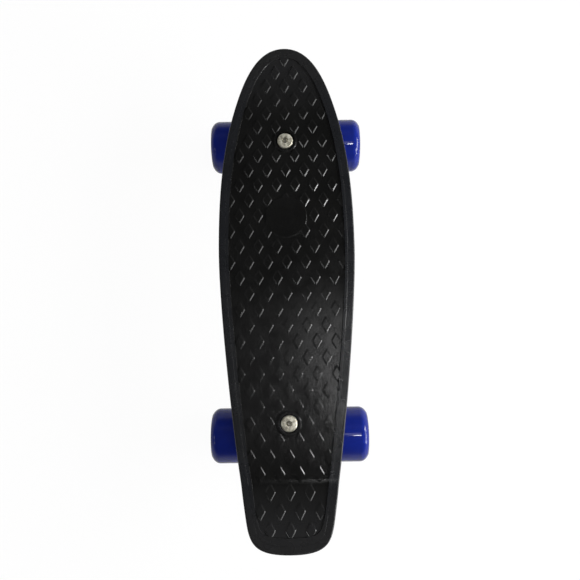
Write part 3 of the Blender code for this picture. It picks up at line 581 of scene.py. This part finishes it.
def at_trucks(piece, name, finishes, slot, body="deck_body", node=None):
    """Copy a piece of the truck to both ends of the deck, and use the first one up."""
    smooth(piece)
    for end, y in BOLT_PLACES.items():
        twin = copy_of(piece, end + "_" + name, (0, y, 0), (0, 0, 0 if end == "front" else math.pi))
        fit(twin, finishes, slot, body.format(end=end), *([end + "_" + node] if node else []))
    bpy.data.objects.remove(piece)


steel, shader, place = new_finish("bright_steel", Metallic=0.7)
spots = place.noise(0.0024, detail=5)
drawn = place.noise(0.012, detail=3)
varies(shader,
       Base_Color=spots.ramp(0.4, 0.6).blend((0.5, 0.47, 0.37), (0.99, 0.96, 0.82)),
       Roughness=drawn.ramp(0.3, 0.7) * 0.12 + 0.36,
       Normal=bumped(spots, 0.08 * MM))
inside, shader, place = new_finish("socket_steel", Metallic=0.85)
spots = place.noise(0.0012, detail=3)
varies(shader,
       Base_Color=spots.ramp(0.4, 0.6).blend((0.5, 0.47, 0.38), (0.99, 0.97, 0.87)),
       Roughness=spots.ramp(0.3, 0.7) * 0.1 + 0.08,
       Normal=bumped(spots, 0.06 * MM))
HEAD_TOP = 83.3
HEAD_SEAT = 78.9
SHANK = 4
THREAD_ROOT = 3.4
BOLT_END = 29.2
bolt = turned("bolt", [(0, HEAD_TOP), (2.9, HEAD_TOP), (6.0, 83.0), (6.8, 82.4), (7, 81.6), (7, HEAD_SEAT),
                       (SHANK, HEAD_SEAT), (SHANK, 44), (THREAD_ROOT, 43.4), (THREAD_ROOT, BOLT_END),
                       (0, BOLT_END)], bevel=0.3)
bpy.ops.mesh.primitive_cylinder_add(vertices=6, radius=2.89 * MM, depth=5.2 * MM,
                                    location=(0, 0, HEAD_TOP * MM))
socket = fixed(new_piece("socket", bpy.context.object))
carve(bolt, socket, "DIFFERENCE")
carve(bolt, turned("dimple", [(0, 81), (2.4, 81), (2.1, 80.55), (1.5, 80.2), (0.8, 80), (0, 79.95)]),
      "DIFFERENCE")
carve(bolt, threaded("thread", 3.95, 28.9, 44.5), "UNION")
edit(bolt)
bpy.ops.object.material_slot_add()
bpy.ops.object.material_slot_add()
bpy.context.object.active_material_index = 1
pick("FACE", lambda face: face.calc_center_median().xy.length < 3 * MM
     and 79 * MM < face.calc_center_median().z < 83.2 * MM)
bpy.ops.object.material_slot_assign()
done()
at_trucks(bolt, "bolt", [steel, inside], "bright_steel", node="kingpin_bolt")

# The base plate is black moulded plastic, pressed up into its pocket under the deck. It has a round
# seat for the upper bushing's washer, a slanted boss for the pivot cup, and ribs between them.
STEER_TURN = (math.radians(-70), 0, 0)
RING_CENTRE = (0, 0, pivots["front_lean"][2])
PLATE_UNDERSIDE = 68.7 * MM
plate = block("plate", (-HALF_PLATE, -PLATE_INBOARD, PLATE_UNDERSIDE),
              (HALF_PLATE, PLATE_OUTBOARD, PLATE_TOP))
edit(plate)
pick("EDGE", lambda edge: not near(edge.verts[0].co.z, edge.verts[1].co.z))
bpy.ops.mesh.bevel(offset=5 * MM, segments=8)
pick("EDGE", lambda edge: level(edge, PLATE_UNDERSIDE))
bpy.ops.mesh.bevel(offset=0.8 * MM, segments=3)
done()
carve(plate, turned("seat", [(0, 73.9), (16.7, 73.9), (16.7, 68.7), (13, 65), (0, 65)], bevel=0.5), "UNION")
carve(plate, drum("hole", BOLT_HOLE * MM, 0.06, 0.08), "DIFFERENCE")
for x in (-17.5, 17.5):
    carve(plate, block("rib", ((x - 1) * MM, -14 * MM, 67.5 * MM), ((x + 1) * MM, 35 * MM, 70 * MM),
                       RIB_ROUNDING), "UNION")
carve(plate, block("rib", (-1.5 * MM, 12 * MM, 66.4 * MM), (1.5 * MM, 32 * MM, 70 * MM), RIB_ROUNDING),
      "UNION")
boss = turned("boss", [(0, 39.5), (11, 39.5), (11, 27.35), (0, 27.35)], bevel=0.6)
placed(boss, RING_CENTRE, STEER_TURN)
carve(boss, block("above", (-30 * MM, 0, 73.9 * MM), (30 * MM, 80 * MM, 0.12)), "DIFFERENCE")
carve(plate, boss, "UNION")
# The boss is bored for the pivot cup, whose own sizes give the bore's.
CUP_RADIUS = 8
CUP_FLANGE = 9
CUP_END = 35.7
CUP_SHOULDER = 27.2
CUP_CLEARANCE = 0.3
bore_radius, bore_mouth = CUP_RADIUS + CUP_CLEARANCE, CUP_FLANGE + CUP_CLEARANCE
bore_end, bore_shoulder = CUP_END + CUP_CLEARANCE, CUP_SHOULDER + CUP_CLEARANCE
bore = turned("bore", [(0, bore_end), (bore_radius, bore_end), (bore_radius, bore_shoulder),
                       (bore_mouth, bore_shoulder), (bore_mouth, 17), (0, 17)])
carve(plate, placed(bore, RING_CENTRE, STEER_TURN), "DIFFERENCE")
plate_finish, shader, place = new_finish("plate_plastic", IOR=1.46)
grain = place.noise(0.0008, detail=3)
varies(shader,
       Base_Color=place.noise(0.02).blend((0.012, 0.012, 0.013), (0.022, 0.022, 0.023)),
       Roughness=grain * 0.2 + 0.4,
       Normal=bumped(grain, 0.03 * MM))
at_trucks(plate, "plate", [plate_finish], "plate_plastic", node="base_plate")

# The pivot cup is off-white nylon, pressed into the base plate round the hanger's nose. The same
# nylon makes the locking rings in the nuts.
nylon, shader, place = new_finish("nylon", IOR=1.53, Subsurface_Weight=0.2, Subsurface_Scale=0.002)
cloud = place.noise(0.006, detail=4)
varies(shader,
       Base_Color=cloud.blend((0.52, 0.49, 0.42), (0.7, 0.68, 0.6)),
       Roughness=cloud * 0.2 + 0.35)
cup = turned("cup", [(0, CUP_END), (CUP_RADIUS, CUP_END), (CUP_RADIUS, CUP_SHOULDER),
                     (CUP_FLANGE, CUP_SHOULDER), (CUP_FLANGE, 26.2), (5.5, 26.2), (5.5, 33.8), (0, 33.8)],
             bevel=0.3)
at_trucks(placed(cup, RING_CENTRE, STEER_TURN), "cup", [nylon], "cup_plastic", node="pivot_cup")

# A cup washer, pressed from steel sheet, holds the outer end of each bushing: one lies under the base
# plate's seat and one on the kingpin's nut, each with its rim round the rubber.
for name, seat, way in (("upper_cup", 64.7, -1), ("lower_cup", 38.6, 1)):
    dish = seat + 1.2 * way
    rim = dish + 1.3 * way
    washer = turned("washer", [(BOLT_HOLE, seat), (11, seat), (12, dish), (12, rim), (11, rim), (11, dish),
                               (BOLT_HOLE, dish)], bevel=0.25)
    at_trucks(washer, name, [steel], "bright_steel", node=name + "_washer")

# Two soft rubber bushings hold the hanger's ring between them. They are turned with a slight waist.
rubber, shader, place = new_finish("bushing_rubber", IOR=1.5)
bloom = place.noise(0.004, detail=5)
varies(shader,
       Base_Color=bloom.ramp(0.4, 0.75).blend((0.010, 0.010, 0.010), (0.035, 0.034, 0.033)),
       Roughness=bloom * 0.25 + 0.45,
       Normal=bumped(place.noise(0.0007), 0.02 * MM))
bushings = {
    "upper_bushing": ([(BOLT_HOLE, 63.2), (9.5, 63.2), (10.5, 62.2), (10.5, 61.2), (10.2, 60), (10.1, 58.7),
                       (10.2, 57.4), (10.5, 56.2), (10.5, 55.2), (9.5, 54.2), (BOLT_HOLE, 54.2),
                       (BOLT_HOLE, 57), (BOLT_HOLE, 60)], 63.2, 54.2),
    "lower_bushing": ([(BOLT_HOLE, 40.1), (9.5, 40.1), (10.5, 41.1), (10.4, 42), (9.6, 43.6), (8.9, 45.1),
                       (8.5, 46.6), (7.5, 47.6), (BOLT_HOLE, 47.6), (BOLT_HOLE, 45), (BOLT_HOLE, 42.5)],
                      40.1, 47.6),
}
for name, (profile, held, pressed) in bushings.items():
    bushing = smooth(turned("bushing", profile, bevel=0.3))
    for end, y in BOLT_PLACES.items():
        twin = copy_of(bushing, end + "_" + name.replace("bushing", "rubber"), (0, y, 0))
        twin.data.materials.clear()
        twin.data.materials.append(rubber)
        end + "_hanger_body"
        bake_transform(twin)
        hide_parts(end + "_" + name)
    bpy.data.objects.remove(bushing)

# The hanger is one aluminium casting: a ring on the kingpin, a web with a rib down its back, the
# axle's housing and a nose that turns in the pivot cup. It is joined from plain shapes and remeshed so
# that its corners flow together, and its seats, ends and bores are then machined.
AXLE_LINE = (0, pivots["front_left_spin"][1] - BOLT_PLACES["front"], pivots["front_left_spin"][2])
ALONG_AXLE = (0, math.pi / 2, 0)
AXLE_BORE = 4


def two_sided(half):
    """A profile's upper half, followed by its mirror image below the middle."""
    return half + [(radius, -height) for radius, height in reversed(half)]


hanger = turned("hanger", [(0, 53.9), (15, 53.9), (15, 47.9), (0, 47.9)], bevel=0.8)
web = block("web", (-9 * MM, 13.5 * MM, 25 * MM), (9 * MM, 20.5 * MM, 56.9 * MM))
for vertex in web.data.vertices:
    if vertex.co.z < 30 * MM:
        vertex.co.x *= 28 / 9
carve(hanger, web, "UNION")
carve(hanger, block("rib", (-2.5 * MM, 18 * MM, 27 * MM), (2.5 * MM, 23.5 * MM, 51 * MM), 1 * MM), "UNION")
housing = turned("housing", two_sided([(0, 42.1), (5.7, 42.1), (5.7, 40), (7.2, 40), (7.2, 35.5), (8, 13)]),
                 sides=96)
carve(hanger, placed(housing, AXLE_LINE, ALONG_AXLE), "UNION")
nose = turned("nose", [(0, 33.5), (3.8, 33.5), (5, 32.3), (5, 25.2), (5.5, 24.6), (5.5, 17), (0, 17)])
carve(hanger, placed(nose, RING_CENTRE, STEER_TURN), "UNION")
finish_step(hanger, "REMESH", mode="VOXEL", voxel_size=0.5 * MM)
finish_step(hanger, "SMOOTH", factor=0.5, iterations=14)
carve(hanger, drum("ring hole", 5.6 * MM, 0.03, 0.07), "DIFFERENCE")
carve(hanger, drum("upper face", 10 * MM, 53.75 * MM, 0.0548), "DIFFERENCE")
carve(hanger, drum("lower face", 10 * MM, 0.047, 48.05 * MM), "DIFFERENCE")
carve(hanger, placed(drum("bore", AXLE_BORE * MM, -0.06, 0.06), AXLE_LINE, ALONG_AXLE), "DIFFERENCE")
cast, shader, place = new_finish("cast_metal", Metallic=1.0)
sand = place.noise(0.0009, detail=4)
varies(shader,
       Base_Color=place.noise(0.015, detail=4).blend((0.33, 0.34, 0.35), (0.46, 0.47, 0.48)),
       Roughness=sand * 0.25 + 0.34,
       Normal=bumped(sand, 0.06 * MM))
at_trucks(hanger, "casting", [cast], "cast_metal", "{end}_hanger_body", "hanger")


# A locking nut of the same bright steel holds each truck on its kingpin: a hexagon, 13 mm across
# its flats, with chamfered corners and a round collar that grips a nylon ring.
def lock_nut(height, collar, bore):
    """A nut standing on zero with its collar up, and its nylon ring as a second piece."""
    top = height - collar
    to_corner = 7.506 * MM
    bpy.ops.mesh.primitive_cylinder_add(vertices=6, radius=to_corner, depth=top * MM,
                                        location=(0, 0, top / 2 * MM))
    nut = fixed(new_piece("nut", bpy.context.object))
    carve(nut, turned("chamfers", [(0, top), (6.4, top), (7.6, top - 0.75), (7.6, 0.6), (6.6, 0), (0, 0)]),
          "INTERSECT")
    carve(nut, turned("collar", [(0, height), (5.2, height), (5.6, height - 0.4), (5.6, top - 0.5),
                                 (0, top - 0.5)]), "UNION")
    carve(nut, turned("bore", [(0, height + 1), (4.9, height + 1), (4.9, top - 0.3), (bore, top - 0.3),
                               (bore, -1), (0, -1)]), "DIFFERENCE")
    ring = turned("ring", [(bore, height - 0.3), (4.85, height - 0.3), (4.85, top), (bore, top)], bevel=0.15)
    return nut, ring


UPSIDE_DOWN = (math.pi, 0, 0)
nut, ring = lock_nut(8, 2, 4.1)
for piece, name, finish, slot, node in ((nut, "nut", steel, "bright_steel", "kingpin_nut"),
                                        (ring, "nut_ring", nylon, "cup_plastic", None)):
    at_trucks(placed(piece, (0, 0, 38.3 * MM), UPSIDE_DOWN), name, [finish], slot, node=node)

# The axle is a ground steel rod through the hanger's housing, with a thread cut at each end for the
# nut that holds the wheel on.
AXLE_RADIUS = 3.7
rod = turned("rod", two_sided([(0, 63.5), (3.1, 63.5), (AXLE_RADIUS, 62.9)]))
tip = threaded("tip", AXLE_RADIUS, 62.5, 71.4)
carve(rod, copy_of(tip, "other tip", rotation=UPSIDE_DOWN), "UNION")
carve(rod, tip, "UNION")
at_trucks(placed(rod, AXLE_LINE, ALONG_AXLE), "axle_rod", [steel], "bright_steel", "{end}_hanger_body",
          "axle")


# The wheels are cast in glossy royal blue urethane, tread and hub in one: a flat tread, round
# shoulders, gently domed faces and a deep mouth that shows the outer bearing.
def at_wheels(piece, name, finish, slot, body, node=None):
    """Copy a piece, drawn with its outer side up, to all four wheels, and use the first one up."""
    smooth(piece)
    for end in BOLT_PLACES:
        for side, half_turn in (("left", math.pi), ("right", 0)):
            corner = end + "_" + side
            twin = copy_of(piece, corner + "_" + name, pivots[corner + "_spin"], (0, math.pi / 2, half_turn))
            fit(twin, [finish], slot, body.format(corner=corner, end=end),
                *([corner + "_" + node] if node else []))
    bpy.data.objects.remove(piece)


FACE = 15.4
FACE_FLAT = 14
SHOULDER = 13.6
TREAD = 25
MOUTH = 13
BEARING_SEAT = 11.3
CORE = 9.3
wheel = turned("wheel", [(MOUTH, FACE), (FACE_FLAT, FACE), (20, 14.5), (TREAD, SHOULDER), (TREAD, -FACE),
                         (BEARING_SEAT, -FACE), (BEARING_SEAT, -7.2), (CORE, -7.2), (CORE, -1.8),
                         (BEARING_SEAT, -1.8), (BEARING_SEAT, 5.8)], sides=128)
edit(wheel)
for height, radius, width in ((SHOULDER, TREAD, 6.4), (-FACE, TREAD, 6.0), (FACE, FACE_FLAT, 1.6),
                              (FACE, MOUTH, 0.5)):
    pick("EDGE", lambda edge: level(edge, height * MM) and near(edge.verts[0].co.xy.length, radius * MM)
         and near(edge.verts[1].co.xy.length, radius * MM))
    bpy.ops.mesh.bevel(offset=width * MM, segments=10)
done()
urethane, shader, place = new_finish("wheel_urethane", IOR=1.4)
cast_cloud = place.noise(0.018, detail=3)
varies(shader,
       Base_Color=cast_cloud.ramp(0.3, 0.7).blend((0.006, 0.014, 0.165), (0.008, 0.019, 0.21)),
       Roughness=place.noise(0.004, detail=4).ramp(0.3, 0.8) * 0.04 + 0.04)
at_wheels(wheel, "urethane", urethane, "wheel_urethane", "{corner}_wheel_body", "wheel")

# Each wheel turns on two ball bearings of hardened steel: an outer ring that carries a thin pressed
# shield on each side, an inner ring on the axle, and seven balls that a brass cage spaces out.
HALF_BEARING = 3.5
BALLS = 7
BALL_CIRCLE = 7.6 * MM
polished, shader, place = new_finish("bearing_steel", Metallic=1.0)
wear = place.noise(0.003, detail=5)
varies(shader,
       Base_Color=wear.blend((0.5, 0.5, 0.51), (0.62, 0.62, 0.63)),
       Roughness=wear.ramp(0.35, 0.75) * 0.2 + 0.12)
brass, shader, place = new_finish("cage_brass", Metallic=1.0)
tarnish = place.noise(0.003, detail=4)
varies(shader,
       Base_Color=tarnish.blend((0.42, 0.28, 0.10), (0.58, 0.43, 0.17)),
       Roughness=tarnish * 0.2 + 0.25)
for where, height in (("outboard", 2), ("inboard", -11)):
    outer_ring = turned("ring", [(10, 0)] + two_sided([
        (9.8, 0.8), (9.2, 1.6), (9.2, 2.9), (6.5, 2.9), (6.5, 3.2), (9.4, 3.2), (9.6, HALF_BEARING),
        (11, HALF_BEARING)]), bevel=0.12)
    inner_ring = turned("ring", [(5.2, 0)] + two_sided([
        (5.4, 0.8), (6, 1.6), (6, HALF_BEARING), (AXLE_BORE, HALF_BEARING)]), bevel=0.2)
    cage = turned("cage", two_sided([(7.2, 0.9), (8, 0.9)]), bevel=0.1)
    balls = []
    for number in range(BALLS):
        angle = 2 * math.pi * (number + 0.5) / BALLS
        spot = (BALL_CIRCLE * math.cos(angle), BALL_CIRCLE * math.sin(angle), 0)
        bpy.ops.mesh.primitive_uv_sphere_add(segments=24, ring_count=12, radius=1.9 * MM, location=spot)
        balls.append(fixed(new_piece("ball", bpy.context.object)))
    for piece, name, finish, slot, body, node in (
            (outer_ring, "outer_race", polished, "bearing_steel", "{corner}_wheel_body", "outer_ring"),
            (inner_ring, "inner_race", polished, "bearing_steel", "{end}_hanger_body", "inner_ring"),
            (cage, "cage", brass, "cage_brass", "{corner}_balls_body", "ball_cage"),
            (joined(balls), "balls", polished, "bearing_steel", "{corner}_balls_body", None)):
        at_wheels(placed(piece, (0, 0, height * MM)), where + "_" + name, finish, slot, body,
                  node and where + "_" + node)

# A plain washer and a locking nut hold each wheel on its axle. Both are of bright steel, and the nut is
# like the kingpin's but lower.
washer = turned("washer", [(6.3, 7), (6.3, 5.8), (AXLE_BORE, 5.8), (AXLE_BORE, 7)], bevel=0.2)
at_wheels(washer, "washer", steel, "bright_steel", "{end}_hanger_body", "axle_washer")
nut, ring = lock_nut(6.5, 1.6, 3.85)
for piece, name, finish, slot, node in ((nut, "nut", steel, "bright_steel", "axle_nut"),
                                        (ring, "nut_ring", nylon, "cup_plastic", None)):
    at_wheels(placed(piece, (0, 0, 7.3 * MM)), name, finish, slot, "{end}_hanger_body", node)


# The stage is a white floor. The camera sees it as white paper with a faint shadow, the shiny pieces
# mirror the same paper more dimly, and other light meets a plain grey floor.
bpy.ops.mesh.primitive_plane_add(size=40, location=(0, 0, 0))
floor = new_piece("floor", bpy.context.object)
floor_finish = bpy.data.materials.new("white_floor")
floor_finish.use_nodes = True
nodes, links = floor_finish.node_tree.nodes, floor_finish.node_tree.links
nodes.remove(nodes["Principled BSDF"])
paper = nodes.new("ShaderNodeBsdfDiffuse")
paper.inputs["Color"].default_value = (0.5, 0.5, 0.5, 1)
glow = nodes.new("ShaderNodeEmission")
glow.inputs["Strength"].default_value = 1.06
GLOW_SEEN = 0.9
GLOW_MIRRORED = 0.3
ray = nodes.new("ShaderNodeLightPath")
mirrored = Value(ray.outputs["Is Glossy Ray"]) + Value(ray.outputs["Is Transmission Ray"])
seen = Value(ray.outputs["Is Camera Ray"]) * GLOW_SEEN + mirrored * GLOW_MIRRORED
mix = nodes.new("ShaderNodeMixShader")
links.new(seen.socket, mix.inputs["Fac"])
links.new(paper.outputs[0], mix.inputs[1])
links.new(glow.outputs[0], mix.inputs[2])
links.new(mix.outputs[0], nodes["Material Output"].inputs["Surface"])
floor.data.materials.append(floor_finish)

# Round the floor the surround is bright at the horizon and dim overhead, as under a dark ceiling with
# a paler band ahead of the nose, and plain white where the camera looks past the floor.
world = bpy.data.worlds.new("surround")
bpy.context.scene.world = world
world.use_nodes = True
nodes, links = world.node_tree.nodes, world.node_tree.links
sky = nodes["Background"]
white = nodes.new("ShaderNodeBackground")
white.inputs["Color"].default_value = (1, 1, 1, 1)
split = nodes.new("ShaderNodeSeparateXYZ")
links.new(nodes.new("ShaderNodeTexCoord").outputs["Generated"], split.inputs[0])
height = Value(split.outputs["Z"]).ramp(0.0, 1.0)
forward = Value(split.outputs["Y"])
ahead = forward.ramp(0.4, 0.5) * (1 - forward.ramp(0.65, 0.8))
HORIZON_GLOW = 0.5
CEILING_GLOW = 0.05
BAND_GLOW = 0.08
light = (1 - height) ** 6 * HORIZON_GLOW + CEILING_GLOW + ahead * BAND_GLOW
links.new(light.socket, sky.inputs["Strength"])
sky.inputs["Color"].default_value = (1, 1, 1, 1)
ray = nodes.new("ShaderNodeLightPath")
mix = nodes.new("ShaderNodeMixShader")
links.new(ray.outputs["Is Camera Ray"], mix.inputs["Fac"])
links.new(sky.outputs[0], mix.inputs[1])
links.new(white.outputs[0], mix.inputs[2])
links.new(mix.outputs[0], nodes["World Output"].inputs["Surface"])


def lamp(name, place, aim, width, length, power, mirrored=True):
    """A soft flat lamp at one place, turned towards another; if not mirrored, shiny things don't show it."""
    light = bpy.data.lights.new(name, "AREA")
    light.shape = "RECTANGLE"
    light.size, light.size_y = width, length
    light.energy = power
    held = bpy.data.objects.new(name, light)
    bpy.context.scene.collection.objects.link(held)
    held.location = place
    held.rotation_euler = (Vector(aim) - Vector(place)).to_track_quat("-Z", "Y").to_euler()
    held.visible_glossy = mirrored


# Two wide lamps that nothing mirrors give a plain, even light. Lamps low on the right and the left draw
# the bright edges of the lozenges and wheels, and small ones overhead the wheels' streaks and the
# deck's sheen. Each one's place and aim come first, then its width, length and power in watts.
lamp("fill_lamp", (0, 0, 3), (0, 0, 0.08), 3, 3, 34, mirrored=False)
lamp("right_fill_lamp", (1.4, -0.07, 0.75), (0, -0.07, 0.08), 1.1, 0.5, 24, mirrored=False)
lamp("right_lamp", (1.4, -0.1, 0.56), (0, 0, 0.08), 1.5, 0.4, 7.5)
lamp("strip_lamp", (3, 0, 0.55), (0, 0, 0.08), 2, 0.2, 31)
lamp("corner_lamp", (1.4, -0.68, 0.26), (0, -0.06, 0.08), 0.2, 0.12, 3)
lamp("edge_lamp", (0.39, -0.02, 0.21), (0, -0.02, 0.08), 0.06, 0.04, 0.2)
lamp("streak_lamp", (0.2225, -0.17, 1.58), (0.2225, -0.17, 0), 0.032, 0.1, 0.45)
lamp("sheen_lamp", (0.165, 0, 1.6), (0, 0, 0.08), 0.24, 0.24, 0.32)
lamp("left_lamp", (-1.3, -0.2, 0.7), (0, 0, 0.08), 0.18, 0.15, 0.5)
lamp("left_tail_lamp", (-1.25, -0.6, 0.62), (0, -0.1, 0.08), 0.16, 0.15, 0.35)

# The camera hangs over the tail side of the board, a little over half a metre up, and leans towards the nose.
camera = bpy.data.objects.new("camera", bpy.data.cameras.new("camera"))
bpy.context.scene.collection.objects.link(camera)
camera.location = (5.4 * MM, -67.7 * MM, 602.5 * MM)
camera.rotation_euler = [math.radians(angle) for angle in (7.0541, 0.4381, -0.8734)]
camera.data.sensor_width = 36
camera.data.lens = 37.56
camera.data.clip_start = 0.01
bpy.context.scene.camera = camera
bpy.context.scene.view_settings.view_transform = "Standard"

bpy.context.view_layer.update()
